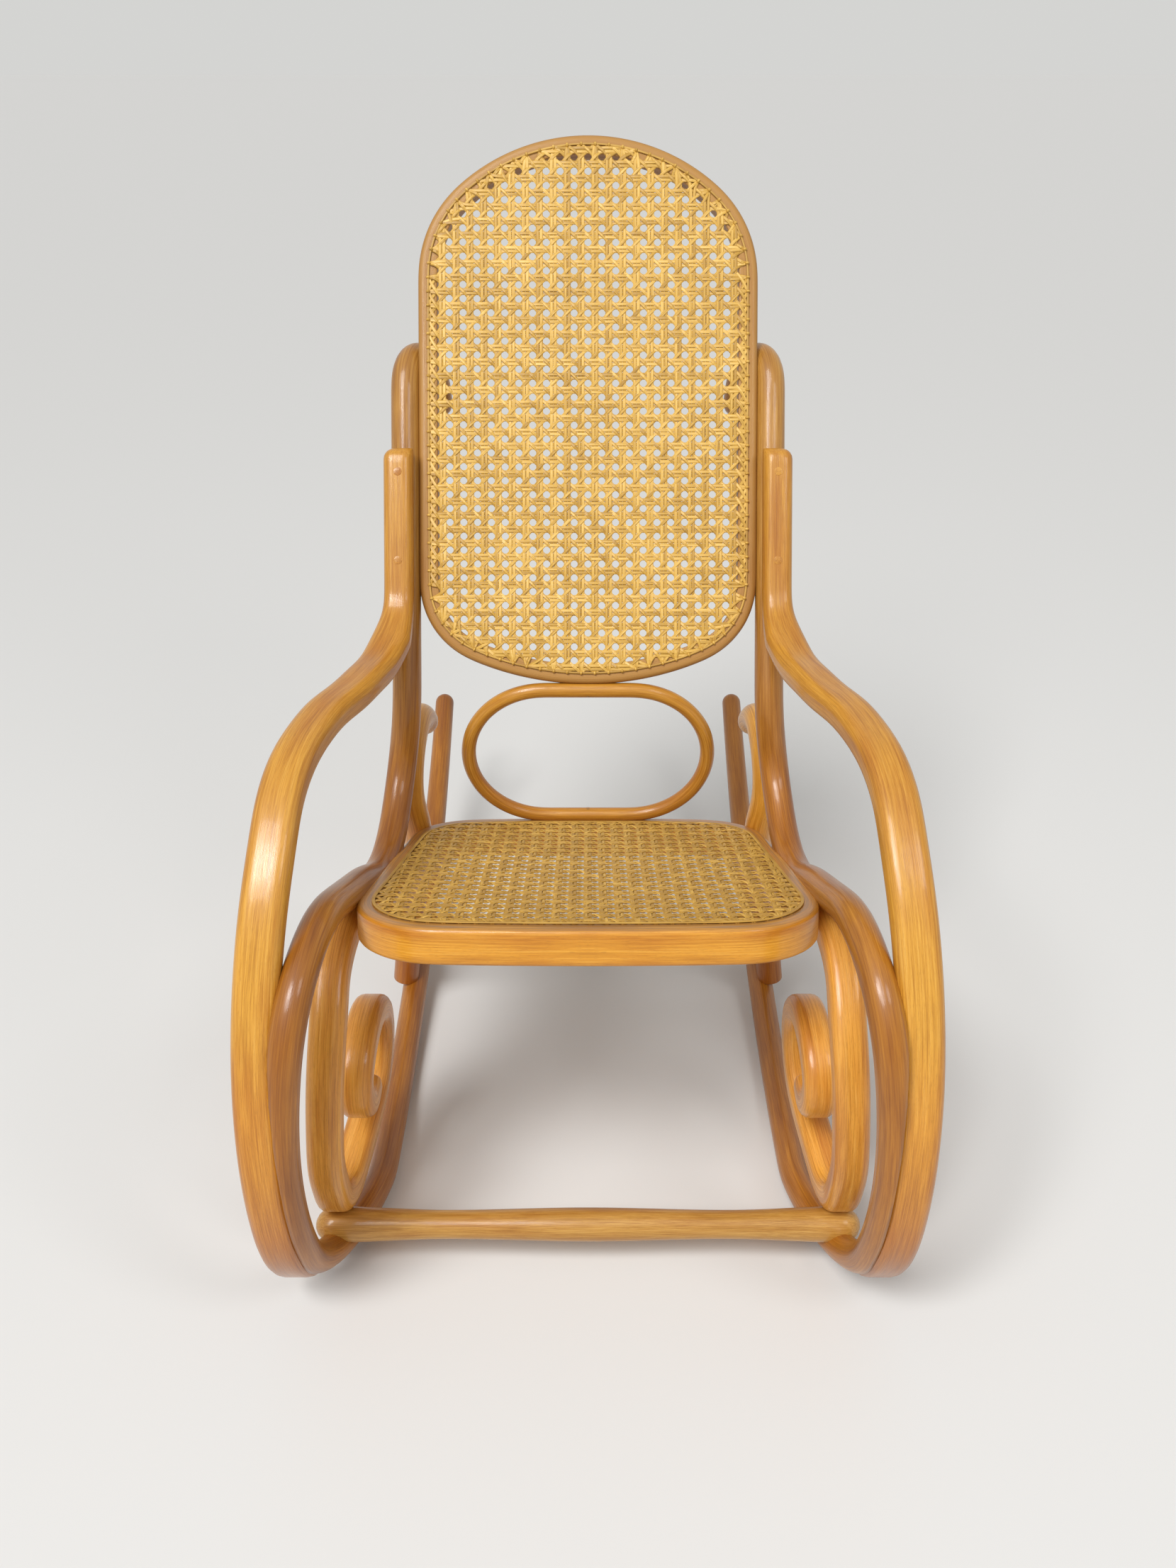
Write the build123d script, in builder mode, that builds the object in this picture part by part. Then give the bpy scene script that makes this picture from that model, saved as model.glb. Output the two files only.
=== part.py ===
from build123d import *
from math import cos, radians, sin, sqrt, tan
import os

# A bentwood rocking chair with caned seat and back, in millimetres.
# +X is to the right seen from the front, +Y runs to the rear, +Z is up.
# The origin is on the floor, midway between the runners, where they touch it.

# Seat
seat_height = 442  # top of the rim at its front edge
seat_depth = 390
seat_front_width = 480  # across the two side lines at the front edge
seat_rear_width = 404
seat_tilt = 16.5  # degrees, lower at the rear
seat_rail = 37  # height of the rim
seat_rim = 36  # width of the rim seen from above
seat_front_corner = 85
seat_rear_corner = 70
seat_bulge = 11  # how far the front and rear edges bow outward
seat_round = 5  # rounding of the rim's outer edges

# Back
back_width = 384
back_height = 616
back_lean = 27.6  # degrees from upright
back_bar = 22  # width of the rim seen from the front
back_thick = 20
back_arch = 157  # height of the arched top
back_shoulder = 135  # radius where the arch begins
back_base = 145  # height of the rounded bottom
back_corner = 95  # radius of the lower corners
back_corner_drop = 30  # straight side below the widest line
back_foot_back = 357  # its lowest point, behind the seat's front edge
back_foot_height = 524
back_round = 6

# Cane
cane_thick = 1.6
seat_cane_edge = 12  # bare rim outside the seat's woven panel
seat_cane_rear = 8  # more of it at the rear, under the oval ring
back_cane_edge = 7.5
cane_pitch = 27
cane_gap = 15  # side of one square gap
cane_margin = 16  # from a gap's centre to the frame's opening
binding_width = 4
binding_thick = 1.4

# Bent rods
rod = 33  # side bow
leg_rod = 34
scroll_width = 36
scroll_thick = 32
scroll_round = 9
arm_width = 42
arm_top_width = 32.5  # where it lies on the upright
arm_thick = 29
arm_round = 11
ring_rod = 17
planed = 1  # taken off a rod where it lies against the seat or the back
arm_planed = 5  # taken off the arm where it lies on the upright

# Side bow: hooked top and seat bend
crook_start = 339  # along the back from its lowest point
crook_radius = 42
crook_turn = 20  # degrees inward from straight back
bow_lift = 2  # axis above the seat's top
bow_tuck = 4.5  # how far the bow is let into the seat's rounded edge
bow_bend = 256  # where the bow turns up, behind the seat's front edge

# Runners
runner_radius = 1500
runner_width = 478  # between the runners' axes
balance = 221  # floor contact, behind the seat's front edge
runner_start = 105  # where the bow meets the runner's curve, behind the seat's front edge
tail_start = 620  # where the tail begins to taper, behind the seat's front edge
tail_reach = 952
tail_tip = 30  # diameter
tail_steps = 8  # short cones that make up its taper

# Front loops
loop_reach = 125  # ahead of the seat's front edge
loop_width = 566  # between the side bows' axes at their front
loop_middle = 215  # height of the foremost point
arm_height = 583
arm_top = 262  # the arm's end, along the back from its lowest point
arm_leave = 96  # where the arm leaves the upright
arm_lap = 2.5  # taken off the arm where it laps the side bow
lap_reach = 60  # how far around the loop's axis the lap is cut
lap_top = 420  # where the bow's lap ends
arm_lap_top = 385
arm_foot = -25  # the arm's slanting lower end, behind the seat's front edge
arm_foot_slant = 1.2
arm_end_round = 9

# Front stretcher
stretcher_ahead = 14  # ahead of the seat's front edge
stretcher_length = 586
stretcher_end = 37  # diameter
stretcher_neck = 30
stretcher_belly = 35
neck_x = 150  # where it is thinnest, from the middle
stretcher_notch = 13  # how deep it sits on the runners

# Oval ring between the back and the seat
ring_width = 301
ring_inset = 8  # its axis, inside the seat's rear edge
ring_sink = 1.5  # taken off where it touches seat and back

# Screws
screw_head = 8
screw_head_thick = 3
screw_sunk = 0.6  # head below the wood's surface
screw_shank = 4.4
screw_clearance = 0.2
screw_way_out = 8  # how far a hole runs out beyond its head
screw_bite = 15  # how far a screw goes into the second piece
seat_screw_slant = 35  # degrees
back_screw_places = (150, 310)  # along the back from its lowest point
arm_screw_places = (136, 234)
arm_screw_out = 4  # outward of the upright's axis
scroll_screw = 96  # behind the seat's front edge
leg_screw_turn = 25  # degrees toward the seat's middle

seat_slope = tan(radians(seat_tilt))
seat_cos = cos(radians(seat_tilt))
runner_x = runner_width / 2
loop_x = loop_width / 2
arm_x = loop_x + arm_width / 2 - arm_lap
upright_x = back_width / 2 + rod / 2 - planed


# A point given by its distance behind the seat's front edge and its height.
def place(x, behind, up):
    return Vector(x, behind - balance, up)


def seat_top(behind):
    return seat_height - behind * seat_slope


# Half the seat's width along its straight side.
def seat_side(behind):
    taper = (seat_front_width - seat_rear_width) / 2 / seat_depth
    return seat_front_width / 2 - taper * behind / seat_cos


# A point on the plane of the back, or ahead of it.
def on_back(x, along, ahead=0):
    lean = radians(back_lean)
    behind = back_foot_back + along * sin(lean) - ahead * cos(lean)
    return place(x, behind, back_foot_height + along * cos(lean) + ahead * sin(lean))


# Height of the runner's axis, and its direction toward the tail.
def runner_height(behind):
    return rod / 2 + runner_radius - sqrt(runner_radius**2 - (behind - balance) ** 2)


def runner_direction(behind):
    across = behind - balance
    return Vector(0, sqrt(runner_radius**2 - across**2), across).normalized()


# Direction at a point of the circle through it and its two neighbours.
def through(before, here, after):
    first = here - before
    second = after - here
    return (first.normalized() * second.length + second.normalized() * first.length).normalized()


# Two arcs from one point to the next, tangent to each other and to both directions.
def double_arc(start, start_way, end, end_way):
    span = end - start
    ways = start_way + end_way
    bend = 2 * (1 - start_way.dot(end_way))
    reach = span.dot(ways)
    if bend < 1e-6:
        arm = span.length**2 / (2 * reach)
    else:
        arm = (sqrt(reach**2 + bend * span.length**2) - reach) / bend
    corner = start + start_way * arm
    far_corner = end - end_way * arm
    middle = (corner + far_corner) * 0.5
    TangentArc(start, middle, tangent=start_way)
    TangentArc(middle, end, tangent=far_corner - corner)


# A smooth run of arcs through a few points of a bent rod.
def bend_through(points, first_way, last_way):
    ways = [first_way]
    for before, here, after in zip(points, points[1:], points[2:]):
        ways.append(through(before, here, after))
    ways.append(last_way)
    for index in range(len(points) - 1):
        double_arc(points[index], ways[index], points[index + 1], ways[index + 1])


# The direction at a run's free end that makes its last stretch one arc.
def end_way(end, neighbour, neighbour_way):
    chord = (end - neighbour).normalized()
    return chord * (2 * chord.dot(neighbour_way)) - neighbour_way


# A half ball that closes a rod's end.
def dome(radius):
    Sphere(radius, arc_size1=0, align=(Align.CENTER, Align.CENTER, Align.MIN))


def section_plane(line):
    return Plane(origin=line @ 0, x_dir=(1, 0, 0), z_dir=line % 0)


os.makedirs("parts", exist_ok=True)


def save(piece, name):
    piece.part.label = name
    export_step(piece.part, f"parts/{name}.step")


# A side piece is made on the right and mirrored for the left.
def save_pair(piece, name):
    save(piece, f"right_{name}")
    with BuildPart() as twin:
        mirror(piece.part, about=Plane.YZ)
    save(twin, f"left_{name}")


# Seat frame and back frame: outlines drawn flat, then placed on their planes.

seat_plane = Plane(
    origin=place(0, 0, seat_height),
    x_dir=(1, 0, 0),
    z_dir=(0, sin(radians(seat_tilt)), seat_cos),
)
back_plane = Plane(
    origin=on_back(0, 0),
    x_dir=(1, 0, 0),
    z_dir=on_back(0, 0, 1) - on_back(0, 0),
)


# The seat's rounded outline, ending at a given depth.
def seat_shape(depth):
    front_x = seat_front_width / 2
    rear_x = front_x - (seat_front_width - seat_rear_width) / 2 * depth / seat_depth
    with BuildSketch() as shape:
        with BuildLine():
            ThreePointArc((-front_x, 0), (0, -seat_bulge), (front_x, 0))
            Line((front_x, 0), (rear_x, depth))
            ThreePointArc((rear_x, depth), (0, depth + seat_bulge), (-rear_x, depth))
            Line((-rear_x, depth), (-front_x, 0))
        make_face()
        fillet(shape.vertices().group_by(Axis.Y)[-1], seat_rear_corner)
        fillet(shape.vertices().filter_by(lambda corner: abs(corner.Y) < 1), seat_front_corner)
    return shape.sketch


seat_outline = seat_shape(seat_depth)


# Where the wide arc of a crown meets the right corner arc, from the middle of the line between the corners.
def crown_joint(half_width, rise, corner):
    run = half_width - corner
    drop = rise - corner
    crown = (run**2 - drop**2) / (2 * drop) + rise
    return Vector(0, rise - crown) + Vector(run, crown - rise).normalized() * crown


with BuildSketch() as back_outline:
    half = back_width / 2
    low = back_base - back_corner_drop
    high = back_height - back_arch
    base_joint = crown_joint(half, low, back_corner)
    arch_joint = crown_joint(half, back_arch, back_shoulder)
    base_y = low - base_joint.Y
    arch_y = high + arch_joint.Y
    with BuildLine():
        for hand in (-1, 1):
            Line((hand * half, low), (hand * half, high))
            TangentArc((hand * half, low), (hand * base_joint.X, base_y), tangent=(0, -1))
            TangentArc((hand * half, high), (hand * arch_joint.X, arch_y), tangent=(0, 1))
        ThreePointArc((-base_joint.X, base_y), (0, 0), (base_joint.X, base_y))
        ThreePointArc((-arch_joint.X, arch_y), (0, back_height), (arch_joint.X, arch_y))
    make_face()

with BuildPart() as seat_frame_blank:
    with BuildSketch(seat_plane):
        add(seat_outline)
        offset(seat_outline, amount=-seat_rim, mode=Mode.SUBTRACT)
    extrude(amount=-seat_rail)
    flat_faces = seat_frame_blank.faces().filter_by(GeomType.PLANE).sort_by(SortBy.AREA)[-2:]
    fillet([edge for face in flat_faces for edge in face.outer_wire().edges()], seat_round)

with BuildPart() as back_frame_blank:
    with BuildSketch(back_plane):
        add(back_outline.sketch)
        offset(back_outline.sketch, amount=-back_bar, mode=Mode.SUBTRACT)
    extrude(amount=back_thick / 2, both=True)
    flat_faces = back_frame_blank.faces().filter_by(GeomType.PLANE).sort_by(SortBy.AREA)[-2:]
    fillet([edge for face in flat_faces for edge in face.outer_wire().edges()], back_round)

# Rods of the right side: each list holds a few points of a rod's axis, from its top end on.

upright_way = (on_back(upright_x, crook_start) - on_back(upright_x, 0)).normalized()
ahead_way = on_back(0, 0, 1) - on_back(0, 0)
arm_ahead = rod / 2 + arm_thick / 2 - arm_planed
stretcher_height = runner_height(-stretcher_ahead) + rod / 2 + stretcher_end / 2 - stretcher_notch
leg_meets = 357  # where the leg touches the seat's rear corner, behind the seat's front edge
leg_seat = seat_top(leg_meets)
scroll_low = stretcher_height + stretcher_end / 2 + scroll_thick / 2


# The bow's axis beside the seat.
def beside_seat(behind, lift):
    return place(seat_side(behind) + rod / 2 - bow_tuck, behind, seat_top(behind) + lift)


bow_points = [
    on_back(upright_x, 0),
    beside_seat(bow_bend + 60, bow_lift + 58),
    beside_seat(bow_bend, bow_lift + 2),
    beside_seat(90, bow_lift),
    place(loop_x - 32, -18, seat_height + 14),
    place(loop_x, -loop_reach, loop_middle),
    place(runner_x + 28, -stretcher_ahead, runner_height(-stretcher_ahead)),
    place(runner_x + 10, 40, runner_height(40)),
    place(runner_x, runner_start, runner_height(runner_start)),
]
arm_points = [
    on_back(upright_x, arm_leave, arm_ahead),
    place(upright_x + 14, 312, arm_height),
    place(arm_x - 62, 222, arm_height),
    place(arm_x - 38, 140, arm_height + 3),
    place(arm_x - 23, 60, arm_height - 9),
    place(arm_x - 14, -25, arm_height - 71),
    place(arm_x - 3, -loop_reach + 30, loop_middle + 173),
    place(arm_x, -loop_reach, loop_middle + 10),
    place(arm_x, -loop_reach + 25, loop_middle - 105),
    place(arm_x, -loop_reach + 70, loop_middle - 168),
]
scroll_points = [
    place(seat_side(105) + scroll_width / 2 - planed, 105, seat_top(105) - 28),
    place(seat_side(60) + scroll_width / 2 + 3, 60, seat_top(60) - 60),
    place(loop_x - 25, 0, seat_height - 132),
    place(loop_x - 20, -30, scroll_low + 144),
    place(loop_x - 15, -30, scroll_low + 52),
    place(loop_x - 16, 2, scroll_low - 6),
    place(loop_x - 27, 70, scroll_low + 6),
    place(loop_x - 39, 140, scroll_low + 48),
    place(loop_x - 43, 158, scroll_low + 102),
    place(loop_x - 43, 125, scroll_low + 147),
    place(loop_x - 40, 72, scroll_low + 145),
    place(loop_x - 37, 40, scroll_low + 110),
    place(loop_x - 37, 54, scroll_low + 76),
    place(loop_x - 37, 88, scroll_low + 72),
]
leg_points = [
    place(runner_x + 11, 426, runner_height(426) + 16),
    place(runner_x - 3, 418, leg_seat - 190),
    place(runner_x - 23, 385, leg_seat - 75),
    place(runner_x - 31, leg_meets, leg_seat - 11),
    place(runner_x - 26, 348, leg_seat + 56),
    place(runner_x - 29, 372, leg_seat + 101),
    place(runner_x - 32, 412, leg_seat + 114),
    place(runner_x - 35, 452, leg_seat + 92),
]


# Screws as a place, a direction and a length; the holes take the same shape with some room.
def screws(spots, room=0):
    way_out = screw_way_out if room else 0
    with BuildPart() as group:
        for point, way, length in spots:
            top = point + way * screw_sunk
            with BuildSketch(Plane(top - way * way_out, z_dir=way)):
                Circle(screw_head / 2 + room)
            extrude(amount=screw_head_thick + room + way_out)
            with BuildSketch(Plane(top + way * screw_head_thick, z_dir=way)):
                Circle(screw_shank / 2 + room)
            extrude(amount=length - screw_head_thick + room)
    return group.part


inward = Vector(-1, 0, 0)
back_spots = [(on_back(upright_x + rod / 2, along), inward, rod + screw_bite) for along in back_screw_places]
seat_way = Vector(-cos(radians(seat_screw_slant)), 0, -sin(radians(seat_screw_slant)))
seat_spots = [(point - seat_way * (rod / 2), seat_way, rod + screw_bite) for point in bow_points[2:4]]
arm_spots = [
    (on_back(upright_x + arm_screw_out, along, arm_ahead + arm_thick / 2), -ahead_way, arm_thick + screw_bite)
    for along in arm_screw_places
]
loop_spots = [(point + Vector(arm_width / 2, 0, 0), inward, arm_width + screw_bite / 2) for point in arm_points[7:9]]
stretcher_spots = [(bow_points[6] - Vector(0, 0, rod / 2), Vector(0, 0, 1), rod + screw_bite)]
leg_way = Vector(-cos(radians(leg_screw_turn)), -sin(radians(leg_screw_turn)), 0)
leg_spots = [(leg_points[3] - leg_way * (leg_rod / 2), leg_way, leg_rod + screw_bite)]
scroll_spots = [
    (
        place(seat_side(scroll_screw) + scroll_width - planed, scroll_screw, seat_top(scroll_screw) - seat_rail + 4),
        inward,
        scroll_width + screw_bite,
    )
]

# Side bow: crook, upright, seat side, front loop and runner in one bent rod.

crook_in = crook_radius * sin(radians(crook_turn))
crook_back = crook_radius * cos(radians(crook_turn))
with BuildPart() as bow_rod:
    with BuildLine() as bow_line:
        ThreePointArc(
            on_back(upright_x - 2 * crook_in, crook_start, -2 * crook_back),
            on_back(upright_x - crook_in, crook_start + crook_radius, -crook_back),
            on_back(upright_x, crook_start),
        )
        Line(on_back(upright_x, crook_start), bow_points[0])
        bend_through(bow_points, -upright_way, runner_direction(runner_start))
        TangentArc(
            bow_points[-1],
            place(runner_x, tail_start, runner_height(tail_start)),
            tangent=runner_direction(runner_start),
        )
    with BuildSketch(section_plane(bow_line.line)):
        Circle(rod / 2)
    sweep()
    for step in range(tail_steps + 1):
        share = step / tail_steps
        behind = tail_start + (tail_reach - tail_start) * share
        axis_point = place(runner_x, behind, runner_height(behind))
        with BuildSketch(Plane(axis_point, x_dir=(1, 0, 0), z_dir=runner_direction(behind))):
            Circle((rod + (tail_tip - rod) * share) / 2)
    loft(ruled=True)
    with Locations(Plane(axis_point, z_dir=runner_direction(tail_reach)).location):
        dome(tail_tip / 2)
    with Locations(Plane(bow_line.line @ 0, z_dir=-(bow_line.line % 0)).location):
        dome(rod / 2)
    add(seat_frame_blank.part, mode=Mode.SUBTRACT)
    add(back_frame_blank.part, mode=Mode.SUBTRACT)
    with Locations(place(loop_x, -loop_reach - lap_reach / 2, 0)):
        Box(
            lap_reach,
            loop_reach + lap_reach,
            lap_top,
            align=(Align.MIN, Align.MIN, Align.MIN),
            mode=Mode.SUBTRACT,
        )

with BuildPart() as side_bow:
    add(bow_rod.part)
    bow_spots = back_spots + seat_spots + arm_spots + loop_spots + stretcher_spots
    add(screws(bow_spots, screw_clearance), mode=Mode.SUBTRACT)
save_pair(side_bow, "side_bow")

# Front stretcher: turned, thinner beside its ends, and notched over the runners.

with BuildPart() as front_stretcher:
    with BuildSketch(Plane(place(0, -stretcher_ahead, stretcher_height))):
        with BuildLine():
            half_length = stretcher_length / 2
            end_x = half_length - stretcher_end / 2
            middle = Vector(0, stretcher_belly / 2)
            for hand in (-1, 1):
                out = Vector(hand, 0)
                neck = Vector(hand * neck_x, stretcher_neck / 2)
                shoulder = Vector(hand * end_x, stretcher_end / 2)
                double_arc(middle, out, neck, out)
                double_arc(neck, out, shoulder, out)
                TangentArc(shoulder, (hand * half_length, 0), tangent=out)
            Line((-half_length, 0), (half_length, 0))
        make_face()
    revolve(axis=Axis(place(0, -stretcher_ahead, stretcher_height), (1, 0, 0)))
    stretcher_holes = screws(stretcher_spots, screw_clearance)
    add(bow_rod.part, mode=Mode.SUBTRACT)
    mirror(bow_rod.part, about=Plane.YZ, mode=Mode.SUBTRACT)
    add(stretcher_holes, mode=Mode.SUBTRACT)
    mirror(stretcher_holes, about=Plane.YZ, mode=Mode.SUBTRACT)
save(front_stretcher, "front_stretcher")

# Arm: laid on the upright, carried forward and lapped down the front of the side bow.

with BuildPart() as arm:
    with BuildLine() as arm_line:
        Line(on_back(upright_x, arm_top, arm_ahead), arm_points[0])
        bend_through(
            arm_points,
            -upright_way,
            end_way(arm_points[-1], arm_points[-2], through(*arm_points[-3:])),
        )
    with BuildSketch(section_plane(arm_line.line)):
        RectangleRounded(arm_width, arm_thick, arm_round)
    sweep()
    with Locations(Plane(on_back(upright_x + arm_width / 2 - arm_top_width, arm_top), z_dir=ahead_way).location):
        Box(arm_width, 2 * arm_top, 2 * arm_top, align=(Align.MAX, Align.CENTER, Align.CENTER), mode=Mode.SUBTRACT)
    top_face = arm.faces().sort_by(Axis.Z)[-1]
    fillet(top_face.edges(), arm_end_round)
    add(bow_rod.part, mode=Mode.SUBTRACT)
    with Locations(place(loop_x, -loop_reach - lap_reach, 0)):
        Box(
            lap_reach,
            3 * lap_reach,
            arm_lap_top,
            align=(Align.MAX, Align.MIN, Align.MIN),
            mode=Mode.SUBTRACT,
        )
    foot_plane = Plane(place(loop_x, arm_foot, 0), x_dir=(1, -arm_foot_slant, 0), z_dir=(0, 0, 1))
    with Locations(foot_plane.location):
        Box(
            4 * lap_reach,
            lap_reach,
            4 * lap_reach,
            align=(Align.CENTER, Align.MIN, Align.CENTER),
            mode=Mode.SUBTRACT,
        )
    add(screws(arm_spots + loop_spots, screw_clearance), mode=Mode.SUBTRACT)
save_pair(arm, "arm")

# Front scroll: from the seat's side down to the stretcher, then curled up on itself.

with BuildPart() as front_scroll:
    with BuildLine() as scroll_line:
        bend_through(
            scroll_points,
            -end_way(scroll_points[0], scroll_points[1], -through(*scroll_points[:3])),
            end_way(scroll_points[-1], scroll_points[-2], through(*scroll_points[-3:])),
        )
    with BuildSketch(section_plane(scroll_line.line)):
        RectangleRounded(scroll_width, scroll_thick, scroll_round)
    sweep()
    add(bow_rod.part, mode=Mode.SUBTRACT)
    add(seat_frame_blank.part, mode=Mode.SUBTRACT)
    add(front_stretcher.part, mode=Mode.SUBTRACT)
    add(screws(scroll_spots, screw_clearance), mode=Mode.SUBTRACT)
save_pair(front_scroll, "front_scroll")

# Rear leg: from the runner up past the seat's rear corner to a short hook.

with BuildPart() as rear_leg:
    with BuildLine() as leg_line:
        bend_through(
            leg_points,
            -end_way(leg_points[0], leg_points[1], -through(*leg_points[:3])),
            end_way(leg_points[-1], leg_points[-2], through(*leg_points[-3:])),
        )
    with BuildSketch(section_plane(leg_line.line)):
        Circle(leg_rod / 2)
    sweep()
    with Locations(Plane(leg_line.line @ 1, z_dir=leg_line.line % 1).location):
        dome(leg_rod / 2)
    add(bow_rod.part, mode=Mode.SUBTRACT)
    add(seat_frame_blank.part, mode=Mode.SUBTRACT)
    add(screws(leg_spots, screw_clearance), mode=Mode.SUBTRACT)
save_pair(rear_leg, "rear_leg")

# Oval ring: stands on the seat's rear rim and carries the back's lowest point.

ring_low_behind = (seat_depth + seat_bulge - ring_inset) * seat_cos
ring_low = place(0, ring_low_behind, seat_top(ring_low_behind) + ring_rod / 2 - ring_sink)
ring_high = on_back(0, ring_sink - ring_rod / 2)
ring_spots = [
    (ring_low + seat_plane.z_dir * (ring_rod / 2), -seat_plane.z_dir, ring_rod + screw_bite),
    (ring_high - upright_way * (ring_rod / 2), upright_way, ring_rod + screw_bite),
]
with BuildPart() as oval_ring:
    ring_plane = Plane(
        (ring_low + ring_high) * 0.5,
        x_dir=(1, 0, 0),
        z_dir=Vector(1, 0, 0).cross(ring_high - ring_low),
    )
    ring_end = (ring_high - ring_low).length / 2
    straight = ring_width / 2 - ring_rod / 2 - ring_end
    with BuildLine(ring_plane):
        Line((0, ring_end), (straight, ring_end))
        ThreePointArc((straight, ring_end), (straight + ring_end, 0), (straight, -ring_end))
        Line((straight, -ring_end), (-straight, -ring_end))
        ThreePointArc((-straight, -ring_end), (-straight - ring_end, 0), (-straight, ring_end))
        Line((-straight, ring_end), (0, ring_end))
    with BuildSketch(Plane(ring_high, x_dir=ring_plane.z_dir, z_dir=(1, 0, 0))):
        Circle(ring_rod / 2)
    sweep()
    add(seat_frame_blank.part, mode=Mode.SUBTRACT)
    add(back_frame_blank.part, mode=Mode.SUBTRACT)
    add(screws(ring_spots, screw_clearance), mode=Mode.SUBTRACT)
save(oval_ring, "oval_ring")

# The two frames with their screw holes.

with BuildPart() as seat_frame:
    add(seat_frame_blank.part)
    side_holes = screws(seat_spots + scroll_spots + leg_spots, screw_clearance)
    add(side_holes, mode=Mode.SUBTRACT)
    mirror(side_holes, about=Plane.YZ, mode=Mode.SUBTRACT)
    add(screws(ring_spots, screw_clearance), mode=Mode.SUBTRACT)
save(seat_frame, "seat_frame")

with BuildPart() as back_frame:
    add(back_frame_blank.part)
    upright_holes = screws(back_spots, screw_clearance)
    add(upright_holes, mode=Mode.SUBTRACT)
    mirror(upright_holes, about=Plane.YZ, mode=Mode.SUBTRACT)
    add(screws(ring_spots, screw_clearance), mode=Mode.SUBTRACT)
save(back_frame, "back_frame")

# Screws, one group for each joint.

for spots, name in (
    (back_spots, "back_screws"),
    (seat_spots, "seat_screws"),
    (arm_spots, "arm_screws"),
    (loop_spots, "loop_screws"),
    (stretcher_spots, "stretcher_screws"),
    (scroll_spots, "scroll_screws"),
    (leg_spots, "leg_screws"),
):
    with BuildPart() as screw_group:
        add(screws(spots))
        mirror(screws(spots), about=Plane.YZ)
    save(screw_group, name)

with BuildPart() as ring_screws:
    add(screws(ring_spots))
save(ring_screws, "ring_screws")


# Cane: a flat net with square gaps on each frame, and a binding strip over its edge.

# Centres of a net's gaps: an even grid, kept clear of the rim.
def gap_centres(opening, half_width, first, last):
    keep = offset(opening, amount=-cane_margin, mode=Mode.PRIVATE).face()
    columns = int(half_width / cane_pitch)
    rows = int((last - first) / cane_pitch)
    grid = [
        (column * cane_pitch, (first + last) / 2 + (row - rows / 2) * cane_pitch)
        for column in range(-columns, columns + 1)
        for row in range(rows + 1)
    ]
    return [spot for spot in grid if keep.is_inside(spot)]


with BuildSketch() as seat_opening:
    offset(seat_outline, amount=-seat_rim)
with BuildSketch() as back_opening:
    offset(back_outline.sketch, amount=-back_bar)
with BuildSketch() as seat_panel:
    offset(seat_shape(seat_depth - seat_cane_rear), amount=-seat_cane_edge)
with BuildSketch() as back_panel:
    offset(back_outline.sketch, amount=-back_cane_edge)
seat_gaps = gap_centres(seat_opening.sketch, seat_front_width / 2, 0, seat_depth)
back_gaps = gap_centres(back_opening.sketch, back_width / 2, 0, back_height)
back_face = back_plane.offset(back_thick / 2)

for panel, face_plane, gaps, name in (
    (seat_panel.sketch, seat_plane, seat_gaps, "seat"),
    (back_panel.sketch, back_face, back_gaps, "back"),
):
    with BuildPart() as cane_net:
        with BuildSketch(face_plane):
            add(panel)
            with Locations(*gaps):
                Rectangle(cane_gap, cane_gap, mode=Mode.SUBTRACT)
        extrude(amount=cane_thick)
    save(cane_net, f"{name}_cane")
    with BuildPart() as binding:
        with BuildSketch(face_plane.offset(cane_thick)):
            add(panel)
            offset(panel, amount=-binding_width, mode=Mode.SUBTRACT)
        extrude(amount=binding_thick)
    save(binding, f"{name}_binding")
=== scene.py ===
import bpy
import numpy as np
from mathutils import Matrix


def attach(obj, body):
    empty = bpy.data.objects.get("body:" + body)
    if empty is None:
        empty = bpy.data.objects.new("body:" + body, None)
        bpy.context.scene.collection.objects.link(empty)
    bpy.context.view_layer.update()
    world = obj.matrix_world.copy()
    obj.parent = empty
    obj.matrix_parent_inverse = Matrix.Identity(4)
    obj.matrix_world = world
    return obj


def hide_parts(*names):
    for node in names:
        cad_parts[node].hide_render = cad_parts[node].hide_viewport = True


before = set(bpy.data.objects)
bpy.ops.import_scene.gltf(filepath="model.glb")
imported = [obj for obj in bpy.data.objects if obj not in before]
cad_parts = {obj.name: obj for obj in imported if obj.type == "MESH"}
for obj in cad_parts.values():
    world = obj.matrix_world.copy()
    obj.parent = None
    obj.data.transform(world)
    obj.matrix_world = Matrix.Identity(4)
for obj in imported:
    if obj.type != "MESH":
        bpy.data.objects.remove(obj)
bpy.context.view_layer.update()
print("frame loaded:", len(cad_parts), "nodes")

draw = np.random.default_rng(11)  # the same draws each run
toMetres = 0.001  # shapes are worked out in millimetres
grainRoom = 4000  # each piece's grain starts somewhere else within this

# Sizes that several pieces share, in millimetres and degrees
chair = {
    "balance": 221,  # floor contact, behind the seat's front edge
    "seatHeight": 442,
    "seatTilt": 16.5,
    "seatDepth": 390,
    "seatFrontWidth": 480,
    "seatRearWidth": 404,
    "backLean": 27.6,
    "backFootBehind": 357,
    "backFootHeight": 524,
    "backWidth": 384,
    "rod": 33,
    "planed": 1,
    "loopReach": 125,
    "loopX": 283,
    "loopMiddle": 215,
    "runnerX": 239,
    "runnerRadius": 1500,
}
seatSlope = np.tan(np.radians(chair["seatTilt"]))
seatCos = np.cos(np.radians(chair["seatTilt"]))
leanSin = np.sin(np.radians(chair["backLean"]))
leanCos = np.cos(np.radians(chair["backLean"]))
uprightX = chair["backWidth"] / 2 + chair["rod"] / 2 - chair["planed"]
rightHand = np.array([1.0, 0, 0])
seatNormal = np.array([0, np.sin(np.radians(chair["seatTilt"])), seatCos])
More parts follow.
